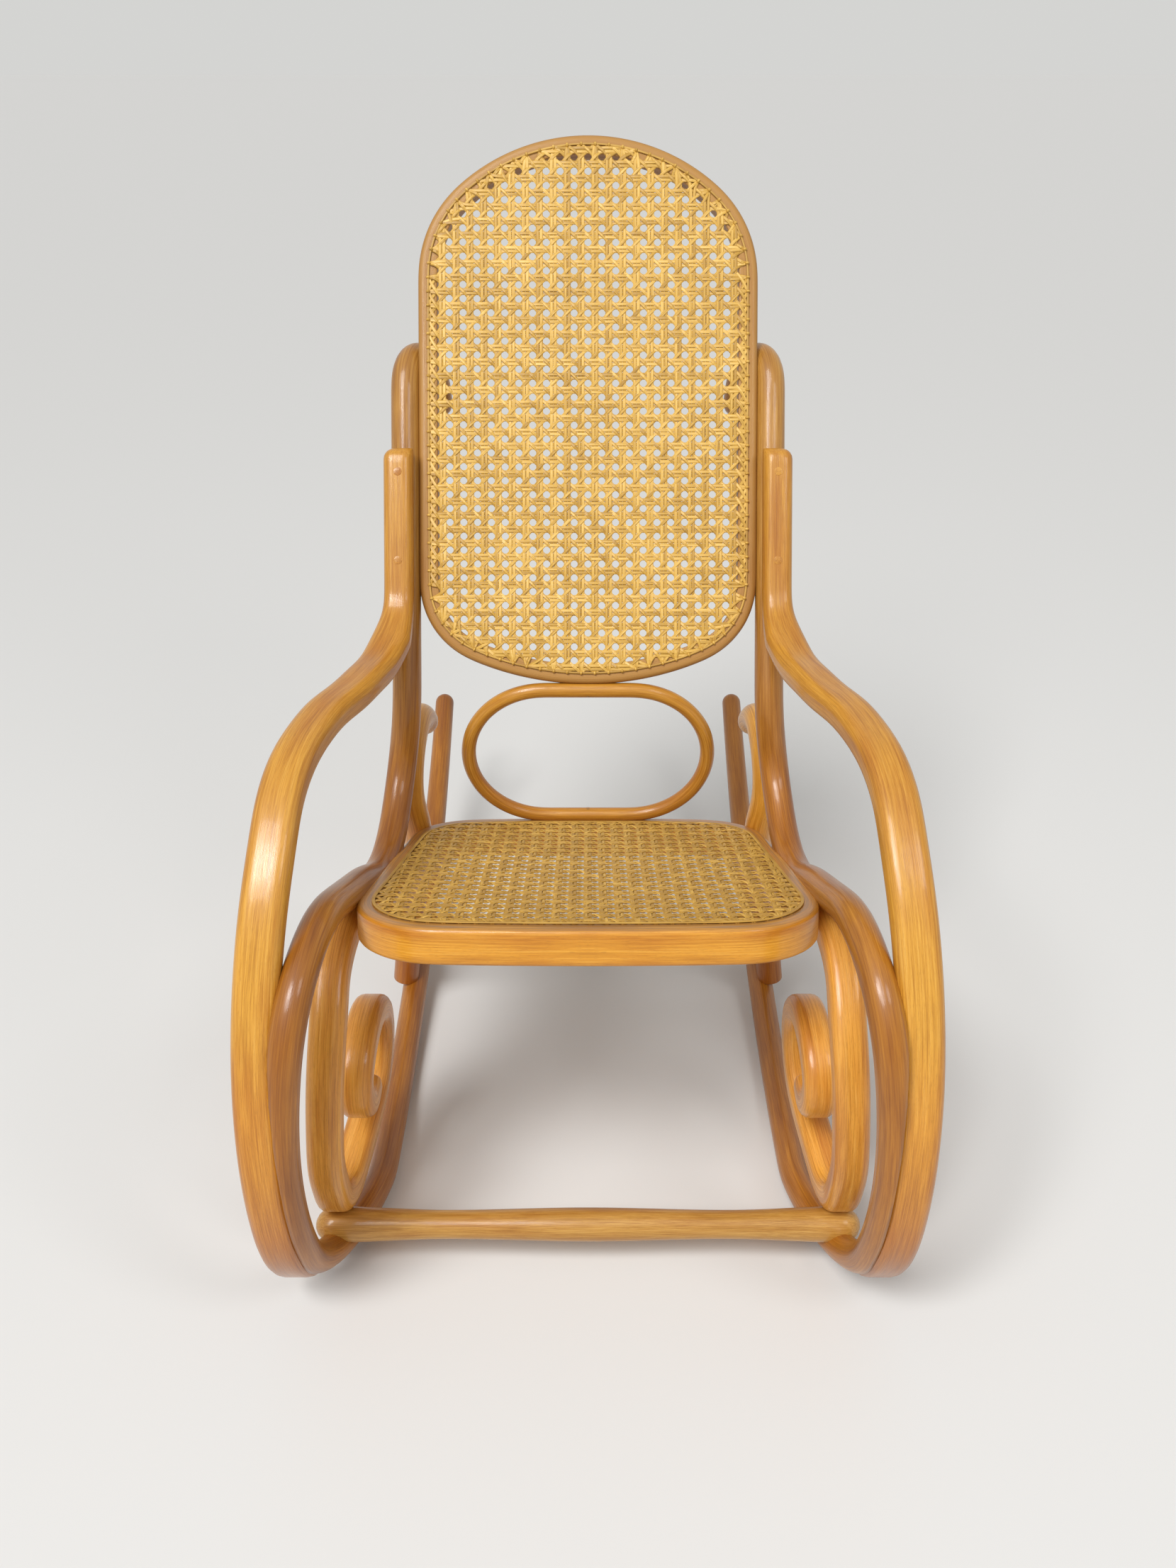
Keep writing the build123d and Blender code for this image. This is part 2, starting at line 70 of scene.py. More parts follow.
seatRearward = np.array([0, seatCos, -np.sin(np.radians(chair["seatTilt"]))])
backNormal = np.array([0, -leanCos, leanSin])  # towards the sitter
backUpward = np.array([0, leanSin, leanCos])


def place(x, behind, up):  # a point by its distance behind the seat's front edge and its height
    return np.array([x, behind - chair["balance"], up], float)


def seatTop(behind):  # falls to the rear by the tilt's tangent
    return chair["seatHeight"] - behind * seatSlope


def seatSide(behind):  # half the seat's width along its straight side
    taper = (chair["seatFrontWidth"] - chair["seatRearWidth"]) / 2 / chair["seatDepth"]
    return chair["seatFrontWidth"] / 2 - taper * behind / seatCos


def onBack(x, along, ahead=0):  # a point on the back's plane, or ahead of it
    foot = place(x, chair["backFootBehind"], chair["backFootHeight"])
    return foot + backUpward * along + backNormal * ahead


def runnerHeight(behind):  # the runner's axis is an arc that touches the floor under the balance point
    across = behind - chair["balance"]
    radius = chair["runnerRadius"]
    return chair["rod"] / 2 + radius - np.sqrt(radius**2 - across**2)


def runnerWay(behind):  # the same arc's direction
    across = behind - chair["balance"]
    return unit(np.array([0, np.sqrt(chair["runnerRadius"]**2 - across**2), across]))


def unit(vector):  # the vector over its length
    return vector / np.linalg.norm(vector)


# Paths: runs of arcs through a few points, as wood is bent round a form

# start + way R sin(t) + side R (1 - cos(t)), to where the arc meets end
def arcRun(start, way, end, step=3.0):
    chord = end - start
    side = chord - way * chord.dot(way)
    half = np.arctan2(np.linalg.norm(side), chord.dot(way))
    if half < 1e-4:
        share = np.linspace(0, 1, int(np.linalg.norm(chord) / step) + 2)[:, None]
        return start + chord * share
    radius = np.linalg.norm(chord) / (2 * np.sin(half))
    turn = np.linspace(0, 2 * half, int(2 * half * radius / step) + 3)[:, None]
    return start + way * radius * np.sin(turn) + unit(side) * radius * (1 - np.cos(turn))


def throughWay(before, here, after):  # direction at here of the circle through three points
    first, second = here - before, after - here
    return unit(unit(first) * np.linalg.norm(second) + unit(second) * np.linalg.norm(first))


def endWay(end, neighbour, neighbourWay):  # direction at a free end that makes the last stretch one arc
    chord = unit(end - neighbour)
    return chord * (2 * chord.dot(neighbourWay)) - neighbourWay


def doubleArc(start, startWay, end, lastWay):  # two arcs that share a tangent where they meet
    span = end - start
    bend = 2 * (1 - startWay.dot(lastWay))
    reach = span.dot(startWay + lastWay)
    if bend < 1e-6:
        arm = span.dot(span) / (2 * reach)
    else:
        arm = (np.sqrt(reach**2 + bend * span.dot(span)) - reach) / bend
    corner = start + startWay * arm
    farCorner = end - lastWay * arm
    middle = (corner + farCorner) / 2
    return [arcRun(start, startWay, middle), arcRun(middle, unit(farCorner - corner), end)]


def bendRun(points, firstWay=None, lastWay=None):  # double arcs through all points
    ways = [throughWay(*points[k:k + 3]) for k in range(len(points) - 2)]
    if firstWay is None:
        firstWay = -endWay(points[0], points[1], -ways[0])
    if lastWay is None:
        lastWay = endWay(points[-1], points[-2], ways[-1])
    ways = [firstWay] + ways + [lastWay]
    runs = []
    for k in range(len(points) - 1):
        runs += doubleArc(points[k], ways[k], points[k + 1], ways[k + 1])
    return runs


def easeLine(line, width, closed=False):  # running mean under a bell of weights, width points to each side
    if closed:
        padded = np.pad(line, ((width, width), (0, 0)), mode="wrap")
    else:
        padded = np.pad(line, ((width, width), (0, 0)), mode="reflect", reflect_type="odd")
    weight = np.hanning(2 * width + 3)[1:-1]
    weight /= weight.sum()
    return np.stack([np.convolve(padded[:, k], weight, "valid") for k in range(3)], 1)


def evenPath(runs, spacing, ease=4, closed=False):  # runs joined, spaced evenly and eased
    line = np.vstack(runs)
    stay = np.r_[True, np.linalg.norm(np.diff(line, axis=0), axis=1) > 1e-6]
    line = line[stay]
    length = np.r_[0, np.cumsum(np.linalg.norm(np.diff(line, axis=0), axis=1))]
    count = int(length[-1] / spacing) + 1
    at = np.linspace(0, length[-1], count + closed)
    even = np.stack([np.interp(at, length, line[:, k]) for k in range(3)], 1)
    return easeLine(even[:-1] if closed else even, ease, closed)


# Sections

def roundSection(radius, sides=24):  # radius times cos(t), sin(t)
    turn = np.linspace(0, 2 * np.pi, sides, endpoint=False)
    return radius * np.stack([np.cos(turn), np.sin(turn)], 1)


def boxSection(low, high, radii, steps=5, fill=4):  # rectangle with a quarter circle at each corner
    corners = np.array([[high[0], low[1]], [high[0], high[1]],
                        [low[0], high[1]], [low[0], low[1]]], float)
    inward = np.array([[-1, 1], [-1, -1], [1, -1], [1, 1]], float)
    arcs = []
    for k in range(4):
        turn = np.radians(-90 + 90 * k + np.linspace(0, 90, steps))
        arcs.append(corners[k] + radii[k] * (inward[k] + np.stack([np.cos(turn), np.sin(turn)], 1)))
    outline = []
    for k in range(4):
        outline.append(arcs[k])
        share = np.linspace(0, 1, fill + 2)[1:-1, None]
        outline.append(arcs[k][-1] + (arcs[(k + 1) % 4][0] - arcs[k][-1]) * share)
    return np.vstack(outline)


# Surfaces: point(i, j) = path(i) + A(i) a(j) + B(i) b(j),
# where A is the wide axis squared to the path and B = way x A

def carry(path, section, wide=rightHand, closed=False, swell=None, ends=(0, 0), endSteps=6, tone=0.0):
    way = np.roll(path, -1, 0) - np.roll(path, 1, 0) if closed else np.gradient(path, axis=0)
    way /= np.linalg.norm(way, axis=1)[:, None]
    length = np.r_[0, np.cumsum(np.linalg.norm(np.diff(path, axis=0), axis=1))]
    if closed:  # the grain runs both ways from the start, so that it meets itself
        length = np.minimum(length, length[-1] + np.linalg.norm(path[0] - path[-1]) - length)
    scale = np.ones((len(path), 2)) if swell is None else np.repeat(swell[:, None], 2, 1)
    half = np.abs(section).max(0)
    turn = np.linspace(0, np.pi / 2, endSteps)[1:, None]
    if ends[0]:  # rounded ends: the section draws in as the path runs on by depth sin(t)
        grow = scale[0] * (1 - ends[0] / (half * scale[0]) * (1 - np.cos(turn)))
        path = np.vstack([(path[0] - way[0] * ends[0] * np.sin(turn))[::-1], path])
        length = np.r_[(length[0] - ends[0] * np.sin(turn[:, 0]))[::-1], length]
        scale = np.vstack([grow[::-1], scale])
        way = np.vstack([np.repeat(way[:1], endSteps - 1, 0), way])
    if ends[1]:
        grow = scale[-1] * (1 - ends[1] / (half * scale[-1]) * (1 - np.cos(turn)))
        path = np.vstack([path, path[-1] + way[-1] * ends[1] * np.sin(turn)])
        length = np.r_[length, length[-1] + ends[1] * np.sin(turn[:, 0])]
        scale = np.vstack([scale, grow])
        way = np.vstack([way, np.repeat(way[-1:], endSteps - 1, 0)])
    axisA = wide - way * (way @ wide)[:, None]
    axisA /= np.linalg.norm(axisA, axis=1)[:, None]
    axisB = np.cross(way, axisA)
    flat = section[None] * scale[:, None]
    rings = path[:, None] + axisA[:, None] * flat[..., :1] + axisB[:, None] * flat[..., 1:]
    grain = np.concatenate([np.repeat(length[:, None, None], len(section), 1), flat], 2)
    grain += draw.uniform(0, grainRoom, 3)
    if tone:
        grain[..., 2] = tone
    return {"rings": rings, "grain": grain, "closed": closed, "centres": path[[0, -1]]}


def gridFaces(count, sides, closed):  # quads between neighbouring rings, and a fan at each open end
    ring = np.arange(count if closed else count - 1)[:, None]
    side = np.arange(sides)[None]
    after, beside = (ring + 1) % count, (side + 1) % sides
    quads = np.stack([ring * sides + side, ring * sides + beside,
                      after * sides + beside, after * sides + side], -1).reshape(-1, 4)
    if closed:
        return quads, np.empty((0, 3), int)
    side = np.arange(sides)
    beside = (side + 1) % sides
    last = (count - 1) * sides
    pole = count * sides
    fanA = np.stack([np.full(sides, pole), beside, side], 1)
    fanB = np.stack([np.full(sides, pole + 1), last + side, last + beside], 1)
    return quads, np.vstack([fanA, fanB])


# Grids joined into one mesh, with the grain and wear values on its points
def putPiece(name, grids, material, slot, *nodes, smooth=True):
    points, grains, wears, quads, fans, base = [], [], [], [], [], 0
    for grid in grids:
        count, sides = grid["rings"].shape[:2]
        q, f = gridFaces(count, sides, grid["closed"])
        here, grain = grid["rings"].reshape(-1, 3), grid["grain"].reshape(-1, 3)
        wear = np.tile(grid.get("wear", np.zeros(sides)), count)
        if not grid["closed"]:
            here = np.vstack([here, grid["centres"]])
            grain = np.vstack([grain, grid["grain"][0].mean(0), grid["grain"][-1].mean(0)])
            wear = np.r_[wear, 0, 0]
        points.append(here)
        grains.append(grain)
        wears.append(wear)
        quads.append(q + base)
        fans.append(f + base)
        base += len(here)
    points, grains = np.vstack(points) * toMetres, np.vstack(grains) * toMetres
    quads, fans = np.vstack(quads), np.vstack(fans)
    mesh = bpy.data.meshes.new(name)
    mesh.vertices.add(len(points))
    mesh.vertices.foreach_set("co", points.ravel())
    corners = np.r_[quads.ravel(), fans.ravel()]
    sizes = np.r_[np.full(len(quads), 4), np.full(len(fans), 3)]
    mesh.loops.add(len(corners))
    mesh.loops.foreach_set("vertex_index", corners)
    mesh.polygons.add(len(sizes))
    mesh.polygons.foreach_set("loop_start", np.r_[0, np.cumsum(sizes)[:-1]])
    mesh.polygons.foreach_set("use_smooth", np.full(len(sizes), smooth))
    mesh.update(calc_edges=True)
    mesh.validate()
    attribute = mesh.attributes.new("grain", "FLOAT_VECTOR", "POINT")
    attribute.data.foreach_set("vector", grains.ravel())
    mesh.attributes.new("wear", "FLOAT", "POINT").data.foreach_set("value", np.concatenate(wears))
    piece = bpy.data.objects.new(name, mesh)
    bpy.context.scene.collection.objects.link(piece)
    mesh.materials.append(material)
    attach(piece, "root")
    if nodes:
        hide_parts(*nodes)


# The left twin: x turned over, and the section's order turned so that faces still point out
def mirrored(grid):
    rings = grid["rings"][:, ::-1] * [-1, 1, 1]
    grain = grid["grain"][:, ::-1] + draw.uniform(0, grainRoom, 3)
    return {"rings": rings, "grain": grain, "closed": grid["closed"], "centres": grid["centres"] * [-1, 1, 1]}


# Materials

def addNode(tree, kind, settings=None, **sockets):  # sockets are linked, or set to a value
    made = tree.nodes.new(kind)
    for key, value in (settings or {}).items():
        setattr(made, key, value)
    for key, value in sockets.items():
        socket = made.inputs[key.replace("_", " ")]
        if isinstance(value, bpy.types.NodeSocket):
            tree.links.new(value, socket)
        else:
            socket.default_value = value
    return made


def ramp(tree, fac, stops):  # colours in straight lines between stops
    made = addNode(tree, "ShaderNodeValToRGB", Fac=fac)
    band = made.color_ramp.elements
    while len(band) < len(stops):
        band.new(0.5)
    while len(band) > len(stops):
        band.remove(band[-1])
    for element, (position, colour) in zip(band, stops):
        element.position = position
        element.color = colour + (1,)
    return made.outputs["Color"]


def mixColour(tree, kind, share, under, over):  # over laid on under by its share
    made = addNode(tree, "ShaderNodeMix", {"data_type": "RGBA", "blend_type": kind})
    for socket, value in ((made.inputs[0], share), (made.inputs[6], under), (made.inputs[7], over)):
        if isinstance(value, bpy.types.NodeSocket):
            tree.links.new(value, socket)
        else:
            socket.default_value = value
    return made.outputs[2]


def grainNoise(tree, vector, stretch, detail=3.0, rough=0.55):  # noise drawn out along the wood's length
    mapping = addNode(tree, "ShaderNodeMapping", Vector=vector, Scale=stretch)
    noise = addNode(tree, "ShaderNodeTexNoise", Vector=mapping.outputs["Vector"], Scale=1.0,
                    Detail=detail, Roughness=rough)
    return noise.outputs["Fac"]


# Colours are the lit wood's; a ramp by height above the floor deepens or clears them, painting shade that
# darkens the wood towards the floor
honey = {
    "dark": (0.560, 0.255, 0.026),
    "mid": (0.730, 0.358, 0.042),
    "light": (0.840, 0.470, 0.092),
    "patch": (0.76, 0.62, 0.42),
    "patchSpan": (0.30, 0.56),
    # painted shade by height: darker towards the floor, clear at 0.40 m, a little duller again by 0.62 m
    "shadeByHeight": ((0.10, (0.58, 0.38, 0.17)), (0.17, (0.72, 0.50, 0.26)), (0.25, (0.88, 0.72, 0.46)),
              (0.32, (0.98, 0.87, 0.68)), (0.40, (1.0, 1.0, 1.0)), (0.62, (0.80, 0.75, 0.66))),
    "fibres": (12, 480, 480),  # along, across and through the wood, per metre
    "fibreStops": (0.30, 0.50, 0.74),
    "tones": (6, 42, 42),
    "flecks": (140, 1700, 1700),
    "fleckColour": (0.26, 0.09, 0.008),
    "fleckStops": (0.59, 0.69),
    "fleckShare": 0.25,
    "pores": (28, 1500, 1500),
    "poreStops": (0.34, 0.56),
    "poreTint": (0.80, 0.73, 0.62),
    "worn": (0.27, 0.155, 0.07),
    "wornStops": ((0.36, 0.9), (0.66, 0.25)),  # rubbed most where the fibre is dark
    "gloss": 0.38,
    "dulled": 0.10,
    "dullStops": (0.3, 0.7),
    "shine": 0.35,
    "coat": 0.50,
    "coatGloss": 0.14,
    "relief": 0.55,
    "coatRelief": 0.22,  # the varnish follows the pores faintly
    "reliefDepth": 0.0004,
}
seatHoney = {**honey, "dark": (0.580, 0.242, 0.016), "mid": (0.740, 0.325, 0.024),
             "light": (0.840, 0.425, 0.060), "poreTint": (0.88, 0.83, 0.74)}
amber = {**honey, "dark": (0.370, 0.163, 0.024), "mid": (0.490, 0.238, 0.042), "light": (0.600, 0.325, 0.076),
         "patch": (0.64, 0.54, 0.40), "patchSpan": (0.32, 0.60),
         # painted shade by height: darker below 0.66 m
         "shadeByHeight": ((0.40, (0.88, 0.66, 0.24)), (0.66, (1.0, 1.0, 1.0)))}
# reddish wood of the scroll, its colours raised to paint frontal light on its front: partly its own tone,
# partly painted light
russetLit = {**honey, "dark": (0.620, 0.262, 0.030), "mid": (0.780, 0.352, 0.048),
          "light": (0.880, 0.465, 0.100), "shadeByHeight": ((0.0, (1.0, 1.0, 1.0)),)}
ringAmber = {**russetLit, "dark": (0.420, 0.175, 0.014), "mid": (0.560, 0.252, 0.024),
             "light": (0.680, 0.350, 0.060)}
# a darker copy of the wood: painted shade on the front stretcher
shadedBeech = {**russetLit, "dark": (0.440, 0.215, 0.034), "mid": (0.550, 0.285, 0.055),
             "light": (0.650, 0.370, 0.095)}
rimBrown = {**russetLit, "dark": (0.270, 0.125, 0.026), "mid": (0.390, 0.190, 0.044),
            "light": (0.500, 0.270, 0.080), "worn": (0.48, 0.25, 0.062), "gloss": 0.46, "coat": 0.16}
white, black = (1, 1, 1), (0, 0, 0)


def newMaterial(name):  # with its node tree and its shader
    material = bpy.data.materials.new(name)
    material.use_nodes = True
    return material, material.node_tree, material.node_tree.nodes["Principled BSDF"]


def product(tree, first, second, clamp=False):  # first x second
    made = addNode(tree, "ShaderNodeMath", {"operation": "MULTIPLY", "use_clamp": clamp})
    for socket, value in zip(made.inputs, (first, second)):
        if isinstance(value, bpy.types.NodeSocket):
            tree.links.new(value, socket)
        else:
            socket.default_value = value
    return made.outputs[0]


# Colour is fibres x patches x painted shade by height x pores, then dark flecks, then the rubbed tone by the
# wear value
def varnishedWood(name, settings):
    material, tree, shader = newMaterial(name)
    vector = addNode(tree, "ShaderNodeAttribute", {"attribute_name": "grain"}).outputs["Vector"]
    fibre = grainNoise(tree, vector, settings["fibres"], detail=4.0, rough=0.65)
    tones = grainNoise(tree, vector, settings["tones"])
    fleck = grainNoise(tree, vector, settings["flecks"], detail=1.0)
    colours = (settings["dark"], settings["mid"], settings["light"])
    body = ramp(tree, fibre, list(zip(settings["fibreStops"], colours)))
    patches = ramp(tree, tones, list(zip(settings["patchSpan"], (settings["patch"], white))))
    body = mixColour(tree, "MULTIPLY", 1.0, body, patches)
    spot = addNode(tree, "ShaderNodeTexCoord").outputs["Object"]
    height = addNode(tree, "ShaderNodeSeparateXYZ", Vector=spot).outputs["Z"]
    # painted shade: the height ramp darkens the colour towards the floor
    body = mixColour(tree, "MULTIPLY", 1.0, body, ramp(tree, height, settings["shadeByHeight"]))
    pores = grainNoise(tree, vector, settings["pores"], detail=2.0)
    sunken = ramp(tree, pores, list(zip(settings["poreStops"], (settings["poreTint"], white))))
    body = mixColour(tree, "MULTIPLY", 1.0, body, sunken)
    dash = ramp(tree, fleck, list(zip(settings["fleckStops"], (black, white))))
    share = product(tree, dash, settings["fleckShare"])
    body = mixColour(tree, "MIX", share, body, settings["fleckColour"] + (1,))
    wear = addNode(tree, "ShaderNodeAttribute", {"attribute_name": "wear"}).outputs["Fac"]
    rubbed = ramp(tree, fibre, [(at, (share,) * 3) for at, share in settings["wornStops"]])
    body = mixColour(tree, "MIX", product(tree, wear, rubbed, True), body, settings["worn"] + (1,))
    tree.links.new(body, shader.inputs["Base Color"])
    levels = (settings["gloss"] + settings["dulled"], settings["gloss"])
    dull = ramp(tree, tones, [(at, (level,) * 3) for at, level in zip(settings["dullStops"], levels)])
    tree.links.new(dull, shader.inputs["Roughness"])
    shader.inputs["Specular IOR Level"].default_value = settings["shine"]
    shader.inputs["Coat Weight"].default_value = settings["coat"]
    shader.inputs["Coat Roughness"].default_value = settings["coatGloss"]
    for strength, socket in ((settings["relief"], "Normal"), (settings["coatRelief"], "Coat Normal")):
        bump = addNode(tree, "ShaderNodeBump", Strength=strength, Distance=settings["reliefDepth"],
                       Height=pores)
        tree.links.new(bump.outputs["Normal"], shader.inputs[socket])
    return material


cane = {
    "dark": (0.42, 0.228, 0.034),
    "mid": (0.65, 0.386, 0.068),
    "light": (0.84, 0.565, 0.165),
    "streaks": (14, 700, 0),
    "stops": (0.30, 0.52, 0.78),
    "gloss": 0.46,
    "relief": 0.1,
    "reliefDepth": 0.0003,
}


def strawCane(name, settings):  # each strand carries its own tone as the third grain value
    material, tree, shader = newMaterial(name)
    vector = addNode(tree, "ShaderNodeAttribute", {"attribute_name": "grain"}).outputs["Vector"]
    parts = addNode(tree, "ShaderNodeSeparateXYZ", Vector=vector)
    streak = grainNoise(tree, vector, settings["streaks"])
    tone = addNode(tree, "ShaderNodeMath", {"operation": "ADD"})
    tree.links.new(parts.outputs["Z"], tone.inputs[0])
    tree.links.new(streak, tone.inputs[1])
    colours = (settings["dark"], settings["mid"], settings["light"])
    body = ramp(tree, tone.outputs[0], list(zip(settings["stops"], colours)))
    tree.links.new(body, shader.inputs["Base Color"])
    shader.inputs["Roughness"].default_value = settings["gloss"]
    bump = addNode(tree, "ShaderNodeBump", Strength=settings["relief"], Distance=settings["reliefDepth"],
                   Height=streak)
    tree.links.new(bump.outputs["Normal"], shader.inputs["Normal"])
    return material


screwSteel = {"colour": (0.20, 0.15, 0.10), "tarnish": 0.6, "stops": (0.35, 0.7), "metal": 0.8, "gloss": 0.45,
              "scratches": 900}


def dullSteel(name, settings):  # noise between the tarnished and the bare colour
    material, tree, shader = newMaterial(name)
    spot = addNode(tree, "ShaderNodeTexCoord").outputs["Object"]
    noise = addNode(tree, "ShaderNodeTexNoise", Vector=spot, Scale=settings["scratches"], Detail=4.0)
    low = tuple(settings["tarnish"] * value for value in settings["colour"])
    body = ramp(tree, noise.outputs["Fac"], list(zip(settings["stops"], (low, settings["colour"]))))
    tree.links.new(body, shader.inputs["Base Color"])
    shader.inputs["Metallic"].default_value = settings["metal"]
    shader.inputs["Roughness"].default_value = settings["gloss"]
    return material


honeyWood = varnishedWood("honeyWood", honey)
amberWood = varnishedWood("amberWood", amber)
russetLitWood = varnishedWood("russetLitWood", russetLit)
ringWood = varnishedWood("ringWood", ringAmber)
seatWood = varnishedWood("seatWood", seatHoney)
shadedStretcherWood = varnishedWood("shadedStretcherWood", shadedBeech)
backWood = varnishedWood("backWood", rimBrown)
caneStraw = strawCane("caneStraw", cane)
steel = dullSteel("screwSteel", screwSteel)
for name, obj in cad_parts.items():
    if name.endswith("screws"):
        obj.data.materials.clear()
        obj.data.materials.append(steel)
print("materials made")

# Side bow: crook, upright, seat side, front loop, runner and tapered tail
bow = {"crookStart": 339, "crookRadius": 42, "crookTurn": 20, "lift": 2, "tuck": 4.5, "bend": 256,
       "runnerStart": 105, "tailStart": 620, "tailReach": 952, "tailTip": 30, "tailBelow": 300,
       "lapTop": 420, "lapRear": 35, "spacing": 5,
       "easing": 16, "easeMiddle": 40, "easeReach": 90, "easeFade": 1.6, "easeDrop": 110}


def besideSeat(behind, lift):  # the bow's axis along the seat's side, lifted off its top
    return place(seatSide(behind) + chair["rod"] / 2 - bow["tuck"], behind, seatTop(behind) + lift)


def bowGrid():  # a circle carried along arcs; its radius falls in a straight line along the tail
    turn = np.radians(bow["crookTurn"])
    span = 2 * bow["crookRadius"]
    rear = onBack(uprightX - span * np.sin(turn), bow["crookStart"], -span * np.cos(turn))
    top = onBack(uprightX, bow["crookStart"])
    points = [
        onBack(uprightX, 0),
        besideSeat(bow["bend"] + 60, bow["lift"] + 58),
        besideSeat(bow["bend"], bow["lift"] + 2),
        besideSeat(90, bow["lift"]),
        place(chair["loopX"] - 32, -18, chair["seatHeight"] + 14),
        place(chair["loopX"], -chair["loopReach"], chair["loopMiddle"]),
        place(chair["runnerX"] + 28, -14, runnerHeight(-14)),
        place(chair["runnerX"] + 10, 40, runnerHeight(40)),
        place(chair["runnerX"], bow["runnerStart"], runnerHeight(bow["runnerStart"])),
    ]
    tail = place(chair["runnerX"], bow["tailReach"], runnerHeight(bow["tailReach"]))
    crook = [arcRun(rear, backUpward, top)]
    upright = [arcRun(top, -backUpward, points[0])]
    loop = bendRun(points, -backUpward, runnerWay(bow["runnerStart"]))
    runner = [arcRun(points[-1], runnerWay(bow["runnerStart"]), tail)]
    path = evenPath(crook + upright + loop + runner, bow["spacing"])
    eased = easeLine(path, bow["easing"])  # longer easing only where the bow leaves the seat
    behind = path[:, 1] + chair["balance"]
    near = np.clip(bow["easeFade"] - np.abs(behind - bow["easeMiddle"]) / bow["easeReach"], 0, 1)
    near = near * (path[:, 2] > chair["seatHeight"] - bow["easeDrop"])
    near = near ** 2 * (3 - 2 * near)
    print("bow eased by", np.abs((eased - path) * near[:, None]).max().round(2), "mm at most")
    path = path + (eased - path) * near[:, None]
    behind = path[:, 1] + chair["balance"]
    share = np.clip((behind - bow["tailStart"]) / (bow["tailReach"] - bow["tailStart"]), 0, 1)
    swell = np.where(path[:, 2] < bow["tailBelow"], 1 - share * (1 - bow["tailTip"] / chair["rod"]), 1.0)
    grid = carry(path, roundSection(chair["rod"] / 2), swell=swell, ends=(chair["rod"] / 2, bow["tailTip"] / 2))
    rings = grid["rings"]
    lapped = (rings[..., 2] < bow["lapTop"]) & (rings[..., 1] < bow["lapRear"] - chair["balance"])
    flat = np.minimum(rings[..., 0], chair["loopX"])  # for the arm's lap
    rings[..., 0] = np.where(lapped, flat, rings[..., 0])
    return grid


# Arm: laid on the upright, carried forward and down the front loop to a slanting foot
arm = {"width": 42, "thick": 29, "round": 11, "planed": 5, "top": 262, "leave": 96, "height": 583, "lap": 2.5,
       "lapTop": 385, "foot": -25, "footSlant": 1.2, "footTop": 120, "footRound": 0.5, "endRound": 13,
       "topWidth": 32.5, "spacing": 6}


def armGrid():  # a rounded rectangle carried along arcs, then narrowed, flattened and cut by planes
    armX = chair["loopX"] + arm["width"] / 2 - arm["lap"]
    ahead = chair["rod"] / 2 + arm["thick"] / 2 - arm["planed"]
    reach, middle = chair["loopReach"], chair["loopMiddle"]
    points = [
        onBack(uprightX, arm["leave"], ahead),
        place(uprightX + 14, 312, arm["height"]),
        place(armX - 62, 222, arm["height"]),
        place(armX - 38, 140, arm["height"] + 3),
        place(armX - 23, 60, arm["height"] - 9),
        place(armX - 14, -25, arm["height"] - 71),
        place(armX - 3, -reach + 30, middle + 173),
        place(armX, -reach, middle + 10),
        place(armX, -reach + 25, middle - 105),
        place(armX, -reach + 70, middle - 168),
    ]
    top = onBack(uprightX, arm["top"] - arm["endRound"], ahead)
    path = evenPath([arcRun(top, -backUpward, points[0])] + bendRun(points, -backUpward), arm["spacing"])
    half = np.array([arm["width"], arm["thick"]]) / 2
    section = boxSection(-half, half, [arm["round"]] * 4)
    grid = carry(path, section, ends=(arm["endRound"], arm["footRound"]))
    rings = grid["rings"]
    outer, inner = rings[..., 0].max(1, keepdims=True), rings[..., 0].min(1, keepdims=True)
    trim = uprightX + arm["width"] / 2 - arm["topWidth"]  # narrower where it lies on the upright
    narrow = np.clip((outer - np.maximum(inner, trim)) / np.maximum(outer - inner, 1e-6), 0, 1)
    rings[..., 0] = outer - (outer - rings[..., 0]) * narrow
    low = rings[..., 2] < arm["lapTop"]
    flat = np.maximum(rings[..., 0], chair["loopX"])  # against the bow
    rings[..., 0] = np.where(low, flat, rings[..., 0])
    cut = unit(np.array([arm["footSlant"], 1, 0]))  # the foot's slanting face
    foot = place(chair["loopX"], arm["foot"], 0)
    way = unit(path[-1] - path[-2])
    past = np.maximum((rings - foot) @ cut, 0) * (rings[..., 2] < arm["footTop"])
    rings -= way * (past / (way @ cut))[..., None]
    grid["centres"][1] = rings[-1].mean(0)
    return grid


# Plugs over the arm's screws: short round pegs, a little proud of the wood
plugs = {"across": 9.5, "proud": 0.25, "round": 0.4, "depth": 4, "out": 4, "sides": 20, "rings": 4,
         "along": (136, 234),  # on the upright part
         "side": ((0, 10), (25, -105))}  # on the front loop, behind and above its middle


def plugGrid(point, facing):  # a circle carried straight out, drawn in at its outer end
    out = np.linspace(-plugs["depth"], plugs["proud"] - plugs["round"], plugs["rings"])[:, None]
    wide = np.cross(facing, [0.1, 0.2, 0.97])  # any axis that no plug faces
    section = roundSection(plugs["across"] / 2, plugs["sides"])
    return carry(point + facing * out, section, wide=wide, ends=(0, plugs["round"]))


def plugGrids():
    ahead = chair["rod"] / 2 + arm["thick"] - arm["planed"]
    side = chair["loopX"] + arm["width"] - arm["lap"]
    spots = [(onBack(uprightX + plugs["out"], along, ahead), backNormal) for along in plugs["along"]]
    spots += [(place(side, behind - chair["loopReach"], chair["loopMiddle"] + above), rightHand)
              for behind, above in plugs["side"]]
    return [plugGrid(*spot) for spot in spots]


# Front stretcher: a turned rod, radius eased between belly, neck and end by a cosine
stretcher = {"ahead": 14, "length": 586, "end": 37, "neck": 30, "belly": 35, "neckX": 150, "notch": 13,
             "rings": 160}
runnerTop = runnerHeight(-stretcher["ahead"]) + chair["rod"] / 2
stretcherHeight = runnerTop + stretcher["end"] / 2 - stretcher["notch"]


